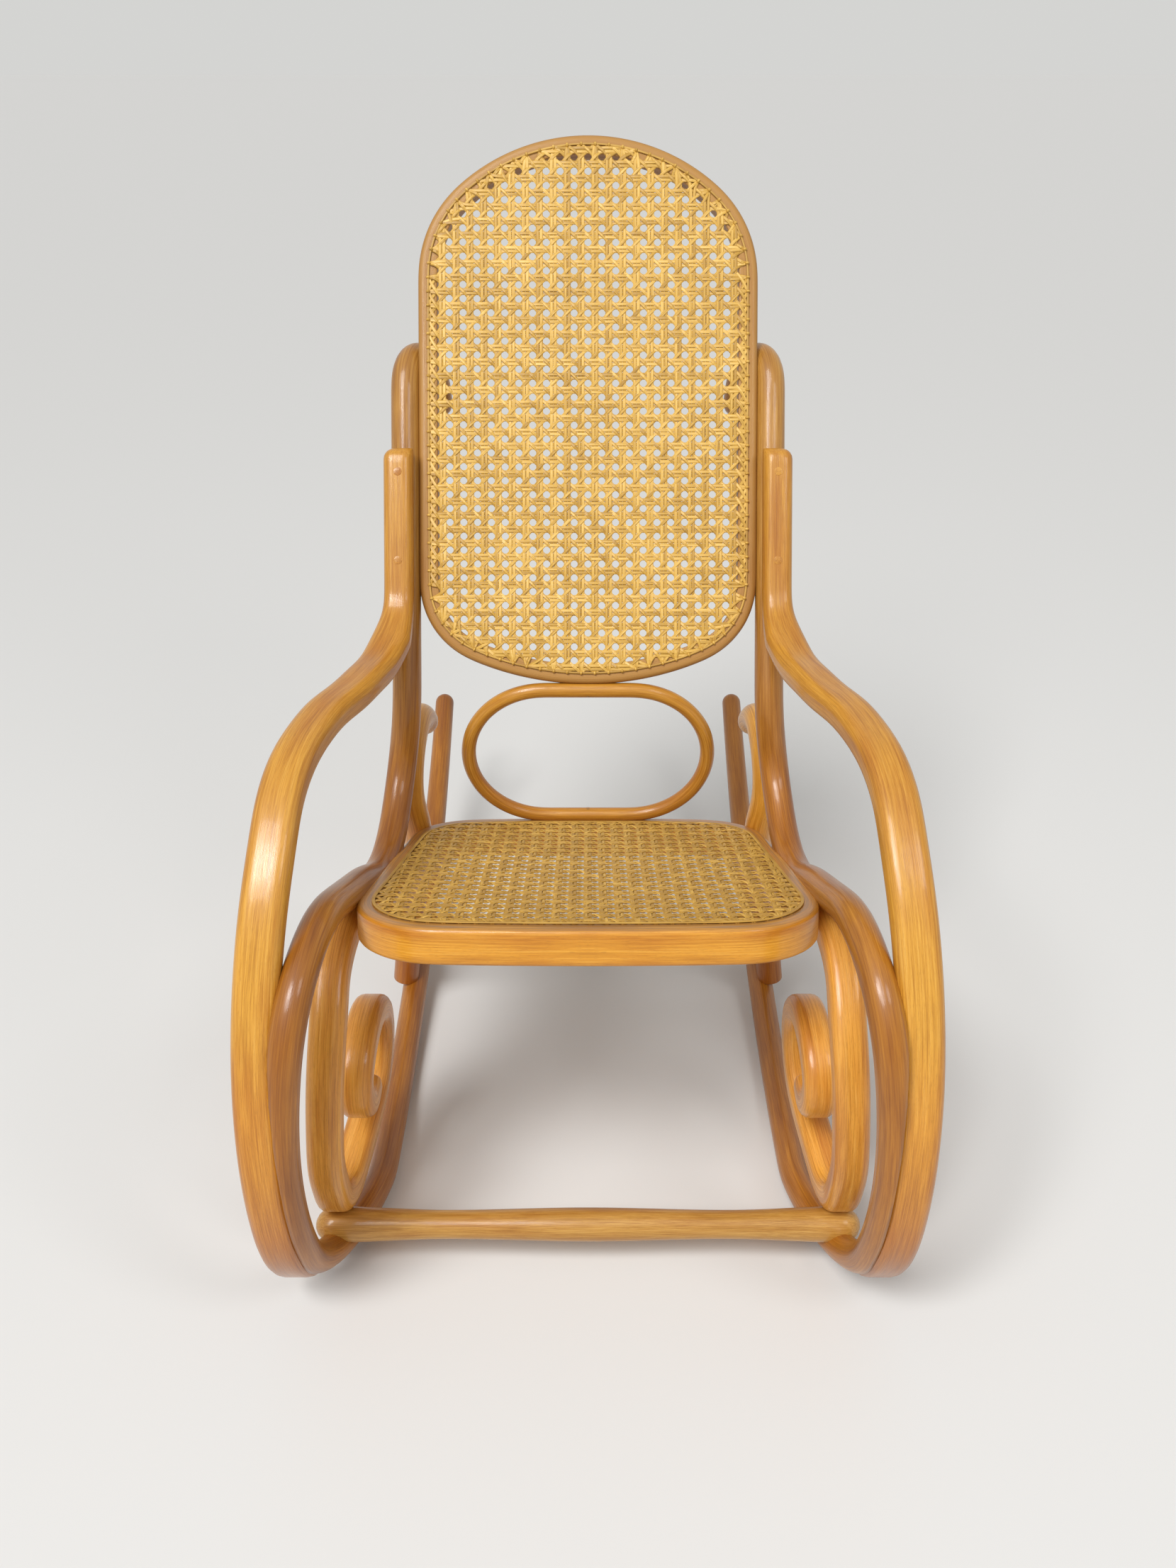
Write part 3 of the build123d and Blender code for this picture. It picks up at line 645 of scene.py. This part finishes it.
def stretcherGrid():
    half = stretcher["length"] / 2 - stretcher["end"] / 2
    x = np.linspace(-half, half, stretcher["rings"])
    path = place(0, -stretcher["ahead"], stretcherHeight) + rightHand * x[:, None]
    inner = np.clip(np.abs(x) / stretcher["neckX"], 0, 1)
    outer = np.clip((np.abs(x) - stretcher["neckX"]) / (half - stretcher["neckX"]), 0, 1)
    across = stretcher["belly"] + (stretcher["neck"] - stretcher["belly"]) * (1 - np.cos(np.pi * inner)) / 2
    across = across + (stretcher["end"] - stretcher["neck"]) * (1 - np.cos(np.pi * outer)) / 2
    ends = (stretcher["end"] / 2,) * 2
    return carry(path, roundSection(1.0), wide=np.array([0, 0, 1.0]), swell=across / 2, ends=ends)


# the stretcher takes the darker wood copy, which is painted shade
putPiece("frontStretcher", [stretcherGrid()], shadedStretcherWood, "bentwood", "front_stretcher")

# Front scroll: from under the seat's front corner down to the stretcher and curled up on itself
scroll = {"width": 36, "thick": 32, "round": 10, "spacing": 4, "topRound": 2, "endRound": 4}


def scrollGrid():  # a rounded rectangle carried along double arcs
    x = chair["loopX"]
    low = stretcherHeight + stretcher["end"] / 2 + scroll["thick"] / 2
    points = [
        place(seatSide(105) + scroll["width"] / 2 - chair["planed"], 105, seatTop(105) - 28),
        place(seatSide(60) + scroll["width"] / 2 + 3, 60, seatTop(60) - 60),
        place(x - 25, 0, chair["seatHeight"] - 132),
        place(x - 20, -30, low + 144),
        place(x - 15, -30, low + 52),
        place(x - 16, 2, low - 6),
        place(x - 27, 70, low + 6),
        place(x - 39, 140, low + 48),
        place(x - 43, 158, low + 102),
        place(x - 43, 125, low + 147),
        place(x - 40, 72, low + 145),
        place(x - 37, 40, low + 110),
        place(x - 37, 54, low + 76),
        place(x - 37, 88, low + 72),
    ]
    path = evenPath(bendRun(points), scroll["spacing"])
    half = np.array([scroll["width"], scroll["thick"]]) / 2
    section = boxSection(-half, half, [scroll["round"]] * 4)
    return carry(path, section, ends=(scroll["topRound"], scroll["endRound"]))


# Rear leg: from the runner up past the seat's rear corner to a small hooked top
leg = {"rod": 34, "meets": 357, "spacing": 5, "footRound": 0.5}


def legGrid():  # a circle carried along double arcs
    x, top = chair["runnerX"], seatTop(leg["meets"])
    points = [
        place(x + 11, 426, runnerHeight(426) + 16),
        place(x - 3, 418, top - 190),
        place(x - 23, 385, top - 75),
        place(x - 31, leg["meets"], top - 11),
        place(x - 26, 348, top + 56),
        place(x - 29, 372, top + 101),
        place(x - 32, 412, top + 114),
        place(x - 35, 452, top + 92),
    ]
    path = evenPath(bendRun(points), leg["spacing"])
    return carry(path, roundSection(leg["rod"] / 2), ends=(leg["footRound"], leg["rod"] / 2))


sideRods = (
    ("SideBow", "side_bow", bowGrid, amberWood),
    ("Arm", "arm", armGrid, honeyWood),
    ("FrontScroll", "front_scroll", scrollGrid, russetLitWood),
    ("RearLeg", "rear_leg", legGrid, honeyWood),
)
for title, node, makeGrid, finish in sideRods:
    grid = makeGrid()
    putPiece("right" + title, [grid], finish, "bentwood", "right_" + node)
    putPiece("left" + title, [mirrored(grid)], finish, "bentwood", "left_" + node)
pegs = plugGrids()
putPiece("armPlugs", pegs + [mirrored(peg) for peg in pegs], honeyWood, "bentwood")
print("side rods made")

# Oval ring: a rod bent into a racetrack, standing on the seat's rear rim under the back
ring = {"width": 301, "rod": 17, "inset": 8, "sink": 1.5, "bulge": 11, "spacing": 4, "sides": 18}


def ringGrid():  # a circle carried round two straights and two half circles
    behind = (chair["seatDepth"] + ring["bulge"] - ring["inset"]) * seatCos
    low = place(0, behind, seatTop(behind) + ring["rod"] / 2 - ring["sink"])
    high = onBack(0, ring["sink"] - ring["rod"] / 2)
    up = unit(high - low)
    radius = np.linalg.norm(high - low) / 2
    straight = rightHand * (ring["width"] / 2 - ring["rod"] / 2 - radius)
    runs = [
        arcRun(high, -rightHand, high - straight),
        arcRun(high - straight, -rightHand, low - straight),
        arcRun(low - straight, rightHand, low + straight),
        arcRun(low + straight, rightHand, high + straight),
        arcRun(high + straight, -rightHand, high),
    ]
    path = evenPath(runs, ring["spacing"], closed=True)
    section = roundSection(ring["rod"] / 2, ring["sides"])
    return carry(path, section, wide=np.cross(rightHand, up), closed=True)


putPiece("ovalRing", [ringGrid()], ringWood, "bentwood", "oval_ring")

# Frames: outlines in the panel's own plane, then a rounded bar carried round them

def flatPoint(x, y):  # a point in a panel's plane
    return np.array([x, y, 0.0])


seat = {"frontCorner": 85, "rearCorner": 70, "bulge": 11, "rail": 37, "rim": 36, "round": 5,
        "caneEdge": 12, "caneRear": 8, "worn": 3}
back = {"height": 616, "arch": 157, "shoulder": 135, "base": 145, "corner": 95, "cornerDrop": 30,
        "bar": 22, "thick": 20, "round": 6, "caneEdge": 7.5, "worn": 7}
rimStep = 5
innerRounds = (2, 3)  # the rim's inner edges, at its face and behind


# Trapezium with rounded corners; the front and rear edges bow out as 1 - (x / half width)^2
def seatOutline(depth):
    front = chair["seatFrontWidth"] / 2
    rear = front - (chair["seatFrontWidth"] - chair["seatRearWidth"]) / 2 * depth / chair["seatDepth"]
    corners = [flatPoint(front, 0), flatPoint(rear, depth), flatPoint(-rear, depth), flatPoint(-front, 0)]
    radii = [seat["frontCorner"], seat["rearCorner"], seat["rearCorner"], seat["frontCorner"]]
    runs, last = [], flatPoint(0, 0)
    for k in range(4):
        before, here, after = corners[k - 1], corners[k], corners[(k + 1) % 4]
        intoWay, outWay = unit(here - before), unit(after - here)
        half = np.arccos(intoWay.dot(outWay)) / 2
        trim = radii[k] * np.tan(half)
        cornerStart, cornerEnd = here - intoWay * trim, here + outWay * trim
        runs += [arcRun(last, intoWay, cornerStart), arcRun(cornerStart, intoWay, cornerEnd)]
        last = cornerEnd
    runs.append(arcRun(last, rightHand, flatPoint(0, 0)))
    line = evenPath(runs, rimStep, closed=True)
    line = np.roll(line, len(line) // 2, 0)  # begins at the rear
    isFront = line[:, 1] < depth / 2
    bulge = 1 - (line[:, 0] / np.where(isFront, front, rear)) ** 2
    line[:, 1] += np.clip(bulge, 0, 1) * seat["bulge"] * np.where(isFront, -1, 1)
    return line


def crownJoint(half, rise, corner):  # where a wide crown arc meets the corner arc
    run, drop = half - corner, rise - corner
    crown = (run**2 - drop**2) / (2 * drop) + rise
    return flatPoint(0, rise - crown) + unit(flatPoint(run, crown - rise)) * crown


def backOutline():  # arcs from the base's middle round the right half to the top, then their mirror image
    half = chair["backWidth"] / 2
    low, high = back["base"] - back["cornerDrop"], back["height"] - back["arch"]
    foot, head = crownJoint(half, low, back["corner"]), crownJoint(half, back["arch"], back["shoulder"])
    footPoint, headPoint = flatPoint(foot[0], low - foot[1]), flatPoint(head[0], high + head[1])
    sideLow, sideHigh, top = flatPoint(half, low), flatPoint(half, high), flatPoint(0, back["height"])
    up = flatPoint(0, 1)
    right = np.vstack([
        arcRun(flatPoint(0, 0), rightHand, footPoint),
        arcRun(sideLow, -up, footPoint)[::-1],
        arcRun(sideLow, up, sideHigh),
        arcRun(sideHigh, up, headPoint),
        arcRun(top, rightHand, headPoint)[::-1],
    ])
    return evenPath([right, right[::-1] * [-1, 1, 1]], rimStep, closed=True)


def inset(line, depth):  # the outline moved inward, square to itself
    way = np.roll(line, -1, 0) - np.roll(line, 1, 0)
    way /= np.linalg.norm(way, axis=1)[:, None]
    return line + np.stack([-way[:, 1], way[:, 0], way[:, 2]], 1) * depth


panels = {
    "seat": {"origin": place(0, 0, chair["seatHeight"]), "upward": seatRearward, "normal": seatNormal,
             "outline": seatOutline(chair["seatDepth"])},
    "back": {"origin": onBack(0, 0), "upward": backUpward, "normal": backNormal, "outline": backOutline()},
}


def onPanel(panel, flat):  # panel x, y and height to the chair's frame
    inPlane = flat[:, :1] * rightHand + flat[:, 1:2] * panel["upward"]
    return panel["origin"] + inPlane + flat[:, 2:] * panel["normal"]


# The wear value is full on the rim's face and falls to nothing a little below it
def rimGrid(panel, frameSizes, low, high):
    radii = (innerRounds[0], frameSizes["round"], frameSizes["round"], innerRounds[1])
    section = boxSection(low, high, radii)
    grid = carry(onPanel(panel, panel["outline"]), section, wide=panel["normal"], closed=True)
    grid["wear"] = np.clip(1 + (section[:, 0] - high[0]) / frameSizes["worn"], 0, 1)
    return grid


seatRim = rimGrid(panels["seat"], seat, (-seat["rail"], -seat["rim"]), (0, 0))
backRim = rimGrid(panels["back"], back, (-back["thick"] / 2, -back["bar"]), (back["thick"] / 2, 0))
putPiece("seatFrame", [seatRim], seatWood, "bentwood", "seat_frame")
putPiece("backFrame", [backRim], backWood, "back_wood", "back_frame")
print("frames made")

# Six-way cane: pairs up and across in plain weave,
# and two diagonals that cross midway between the pairs' crossings
weave = {
    "pitch": 15.6,
    "pairGap": 4.1,
    "strand": 3.7,
    "diagonal": 3.5,
    "thick": 1.1,
    "level": 1.6,
    "wave": 0.6,
    "diagonalWave": 1.25,
    "step": 3.6,
    "gather": 20,
    "clear": 5,
    "shortest": 1.2,  # in pitches
    "rimReach": 8,  # the weave flattens and dips this near to the rim
    "rimDip": 1.2,
    "tones": (-0.14, 0.12),
}


# Stretch of a line inside a convex outline, from the half-planes of its sides
def clipLine(polygon, point, way):
    along = np.roll(polygon, -1, 0) - polygon
    inward = np.stack([-along[:, 1], along[:, 0]], 1)
    gap = ((point - polygon) * inward).sum(1)
    rate = inward @ way
    with np.errstate(divide="ignore", invalid="ignore"):
        cross = -gap / rate
    if (gap[np.abs(rate) < 1e-9] < 0).any():
        return 0.0, 0.0
    return cross[rate > 1e-9].max(), cross[rate < -1e-9].min()


def strandSection(width, thick):  # flat on its faces, bevelled at its edges
    edge, face, half = 0.5, 0.32, 0.5  # shares of the width, and of the thickness
    outline = [[edge, 0], [face, half], [-face, half], [-edge, 0], [-face, -half], [face, -half]]
    return np.array(outline) * [width, thick]


def holeRow(polygon, phase):  # rim holes, evenly spaced along the outline, as many on either half
    closed = np.vstack([polygon, polygon[:1]])
    length = np.r_[0, np.cumsum(np.linalg.norm(np.diff(closed, axis=0), axis=1))]
    count = 2 * round(length[-1] / weave["pitch"] / 2)
    at = (np.arange(count) + phase) * length[-1] / count
    return np.stack([np.interp(at, length, closed[:, k]) for k in range(2)], 1), length[-1] / count


# One strand: a straight line in the panel that gathers to the nearest rim hole at both ends, d (1 - s)^2,
# and rises and falls with the weave
def strand(panel, point, way, width, height):
    start, end = clipLine(panel["polygon"], point, way)
    if end - start < weave["pitch"] * weave["shortest"]:
        return None
    at = np.linspace(start, end, int((end - start) / weave["step"]) + 2)
    flat = point + at[:, None] * way
    edge = np.minimum(at - start, end - at)
    dish = panel["sag"] * np.clip(1 - ((flat - panel["middle"]) / panel["reach"]) ** 2, 0, 1).prod(1)
    free = np.clip(edge / weave["rimReach"], 0, 1)
    lift = weave["level"] + height(flat) * free - weave["rimDip"] * (1 - free) ** 2 - dish
    gather = min(weave["gather"], (end - start) / 2)
    for tip, near in ((flat[0].copy(), at - start), (flat[-1].copy(), end - at)):
        pull = panel["holes"] - tip
        pull = pull[np.argmin((pull ** 2).sum(1))]
        flat = flat + pull * ((1 - np.clip(near / gather, 0, 1)) ** 2)[:, None]
    path = onPanel(panel, np.column_stack([flat, lift]))
    across = rightHand * -way[1] + panel["upward"] * way[0]
    tone = (panel["tone"] + draw.uniform(*weave["tones"])) / toMetres
    return carry(path, strandSection(width, weave["thick"]), wide=across, tone=tone)


def ripple(size, turn, axis, origin, phase=0.0):  # height = size cos(turn (s - origin) + phase)
    return lambda flat: size * np.cos(turn * (flat[:, axis] - origin) + phase)


# Pairs ripple once in two pitches and swap from one pair to the next; diagonals ripple twice as fast
def panelCane(title, panel, line):
    polygon = line[:, :2]
    low, high = polygon.min(0), polygon.max(0)
    panel["holes"], pitch = holeRow(polygon, panel["phase"])
    panel["polygon"], panel["middle"], panel["reach"] = polygon, (low + high) / 2, (high - low) / 2
    rightHoles = panel["holes"][panel["holes"][:, 0] > 0]
    nearest = np.argmin(np.abs(rightHoles[:, 1] - panel["middle"][1]))
    rowY = rightHoles[nearest, 1]  # rows line up with the side's holes
    columnX = panel["phase"] * pitch
    columns = int(high[0] / pitch) + 1
    rows = int((high[1] - low[1]) / 2 / pitch) + 2
    turn = np.pi / pitch
    upright, across, diagonals = [], [], []
    up, right = np.array([0, 1.0]), np.array([1.0, 0])
    for k in range(-columns, columns + 1):
        for side in (-1, 1):
            point = np.array([columnX + k * pitch + side * weave["pairGap"] / 2, rowY])
            if np.abs(point[0]) < high[0] - weave["clear"]:
                height = ripple(weave["wave"], turn, 1, rowY, np.pi * k)
                upright.append(strand(panel, point, up, weave["strand"], height))
    for k in range(-rows, rows + 1):
        for side in (-1, 1):
            point = np.array([0, rowY + k * pitch + side * weave["pairGap"] / 2])
            height = ripple(-weave["wave"], turn, 0, columnX, np.pi * k)
            across.append(strand(panel, point, right, weave["strand"], height))
    for k in range(-columns - rows - 1, columns + rows + 1):
        for slope in (-1, 1):
            point = np.array([columnX + (k + 0.5) * pitch, rowY])
            way = unit(np.array([1.0, slope]))
            height = ripple(slope * weave["diagonalWave"], 2 * turn, 0, columnX)
            diagonals.append(strand(panel, point, way, weave["diagonal"], height))
    for name, strands in (("Uprights", upright), ("Rows", across), ("Diagonals", diagonals)):
        kept = [grid for grid in strands if grid is not None]
        putPiece(title + "Cane" + name, kept, caneStraw, "cane", title + "_cane", smooth=False)


# Binding: a narrow cane laid round the edge over the holes; on the back, a small loop ties it at each hole
binding = {"thick": 1.2, "level": 1.6, "round": 0.5, "tone": -0.16, "setIn": 4.5, "loopWidth": 3.0,
           "loopReach": 0.9, "loopSink": 0.9, "loopRise": 2.2, "loopTones": (-0.12, 0.08),
           "loopSteps": 7, "loopSides": 8}
seatCane = {"sag": 5, "tone": -0.14, "phase": 0.0, "loops": False, "strip": 3.4}
backCane = {"sag": 3, "tone": 0.0, "phase": 0.5, "loops": True, "strip": 2.2}


# A loop is half an oval: outward reach cos(t), up rise sin(t)
def bindingGrids(panel, line):
    path = onPanel(panel, line + [0, 0, binding["level"]])
    half = np.array([binding["thick"], panel["strip"]]) / 2
    section = boxSection(-half, half, [binding["round"]] * 4, steps=3, fill=1)
    grids = [carry(path, section, wide=panel["normal"], closed=True, tone=binding["tone"] / toMetres)]
    loopSection = roundSection(binding["loopWidth"] / 2, binding["loopSides"])
    turn = np.linspace(0, np.pi, binding["loopSteps"])[:, None]
    for hole in panel["holes"] if panel["loops"] else ():
        k = int(np.argmin(((line[:, :2] - hole) ** 2).sum(1)))
        way = unit(line[(k + 1) % len(line)] - line[k - 1])
        outward = np.array([way[1], -way[0], 0])
        flat = np.r_[hole, 0] + outward * binding["loopReach"] * np.cos(turn)
        height = binding["level"] - binding["loopSink"] + binding["loopRise"] * np.sin(turn)
        flat = flat + np.array([0, 0, 1]) * height
        across = rightHand * way[0] + panel["upward"] * way[1]
        tone = draw.uniform(*binding["loopTones"]) / toMetres
        grids.append(carry(onPanel(panel, flat), loopSection, wide=across, tone=tone))
    return grids


panels["back"]["origin"] = panels["back"]["origin"] + backNormal * back["thick"] / 2
caneLines = {
    "seat": inset(seatOutline(chair["seatDepth"] - seat["caneRear"]), seat["caneEdge"] + binding["setIn"]),
    "back": inset(panels["back"]["outline"], back["caneEdge"] + binding["setIn"]),
}
panels["seat"].update(seatCane)
panels["back"].update(backCane)
for title in ("seat", "back"):
    panelCane(title, panels[title], caneLines[title])
    grids = bindingGrids(panels[title], caneLines[title])
    putPiece(title + "Binding", grids, caneStraw, "cane", title + "_binding")
print("cane woven and bound")

# Floor, light and camera
stage = {"floorSize": 120, "floorColour": (0.74, 0.735, 0.72), "floorDull": 0.9, "floorShine": 0.1,
         "worldColour": (0.90, 0.90, 0.89), "worldStrength": 0.42, "backdrop": (0.66, 0.66, 0.645)}
sun = {"from": (-0.55, -0.95, 1.5), "aim": (0, 0, 0), "strength": 2.0, "softness": 28}
lampAim = (0, 0, 0.5)
lamps = {
    "key": {"place": (-1.0, -1.5, 2.5), "size": 0.6, "watts": 15},
    "fill": {"place": (1.3, -1.4, 2.4), "size": 0.8, "watts": 11},
}
camera = {"place": (0.0, -1.209, 1.163), "tiltDown": 29.83, "lens": 29.7, "sensor": 36}


def makeFloor():  # a wide square at height 0
    half = stage["floorSize"] / 2
    mesh = bpy.data.meshes.new("floor")
    corners = [(-half, -half, 0), (half, -half, 0), (half, half, 0), (-half, half, 0)]
    mesh.from_pydata(corners, [], [(0, 1, 2, 3)])
    floor = bpy.data.objects.new("floor", mesh)
    bpy.context.scene.collection.objects.link(floor)
    material, _, shader = newMaterial("paleFloor")
    shader.inputs["Base Color"].default_value = stage["floorColour"] + (1,)
    shader.inputs["Roughness"].default_value = stage["floorDull"]
    shader.inputs["Specular IOR Level"].default_value = stage["floorShine"]
    mesh.materials.append(material)


def aimAt(obj, start, target):  # at start, turned to face the target
    way = np.array(target, float) - np.array(start, float)
    obj.location = start
    tilt = np.arctan2(np.hypot(way[0], way[1]), -way[2])
    obj.rotation_euler = (tilt, 0, np.arctan2(way[1], way[0]) - np.pi / 2)
    bpy.context.scene.collection.objects.link(obj)


makeFloor()
daylight = bpy.data.lights.new("sun", "SUN")
daylight.energy = sun["strength"]
daylight.angle = np.radians(sun["softness"])
aimAt(bpy.data.objects.new("sun", daylight), sun["from"], sun["aim"])
for name, lamp in lamps.items():
    light = bpy.data.lights.new(name, "AREA")
    light.shape = "DISK"
    light.size = lamp["size"]
    light.energy = lamp["watts"]
    aimAt(bpy.data.objects.new(name, light), lamp["place"], lampAim)

world = bpy.data.worlds.new("studio")
bpy.context.scene.world = world
world.use_nodes = True
skyTree = world.node_tree
glow = skyTree.nodes["Background"]
glow.inputs["Color"].default_value = stage["worldColour"] + (1,)
glow.inputs["Strength"].default_value = stage["worldStrength"]
backdrop = addNode(skyTree, "ShaderNodeBackground", Color=stage["backdrop"] + (1,), Strength=1.0)
rays = addNode(skyTree, "ShaderNodeLightPath")
seen = rays.outputs["Is Camera Ray"]
for kind in ("Is Glossy Ray", "Is Transmission Ray"):
    either = addNode(skyTree, "ShaderNodeMath", {"operation": "MAXIMUM"})
    skyTree.links.new(seen, either.inputs[0])
    skyTree.links.new(rays.outputs[kind], either.inputs[1])
    seen = either.outputs[0]
blend = addNode(skyTree, "ShaderNodeMixShader", Fac=seen)
skyTree.links.new(glow.outputs[0], blend.inputs[1])
skyTree.links.new(backdrop.outputs[0], blend.inputs[2])
skyTree.links.new(blend.outputs[0], skyTree.nodes["World Output"].inputs["Surface"])

lens = bpy.data.cameras.new("camera")
lens.lens = camera["lens"]
lens.sensor_width = camera["sensor"]
lens.sensor_fit = "AUTO"
viewer = bpy.data.objects.new("camera", lens)
viewer.location = camera["place"]
viewer.rotation_euler = (np.radians(90 - camera["tiltDown"]), 0, 0)
bpy.context.scene.collection.objects.link(viewer)
bpy.context.scene.camera = viewer
bpy.context.scene.view_settings.view_transform = "Standard"
print("stage set")
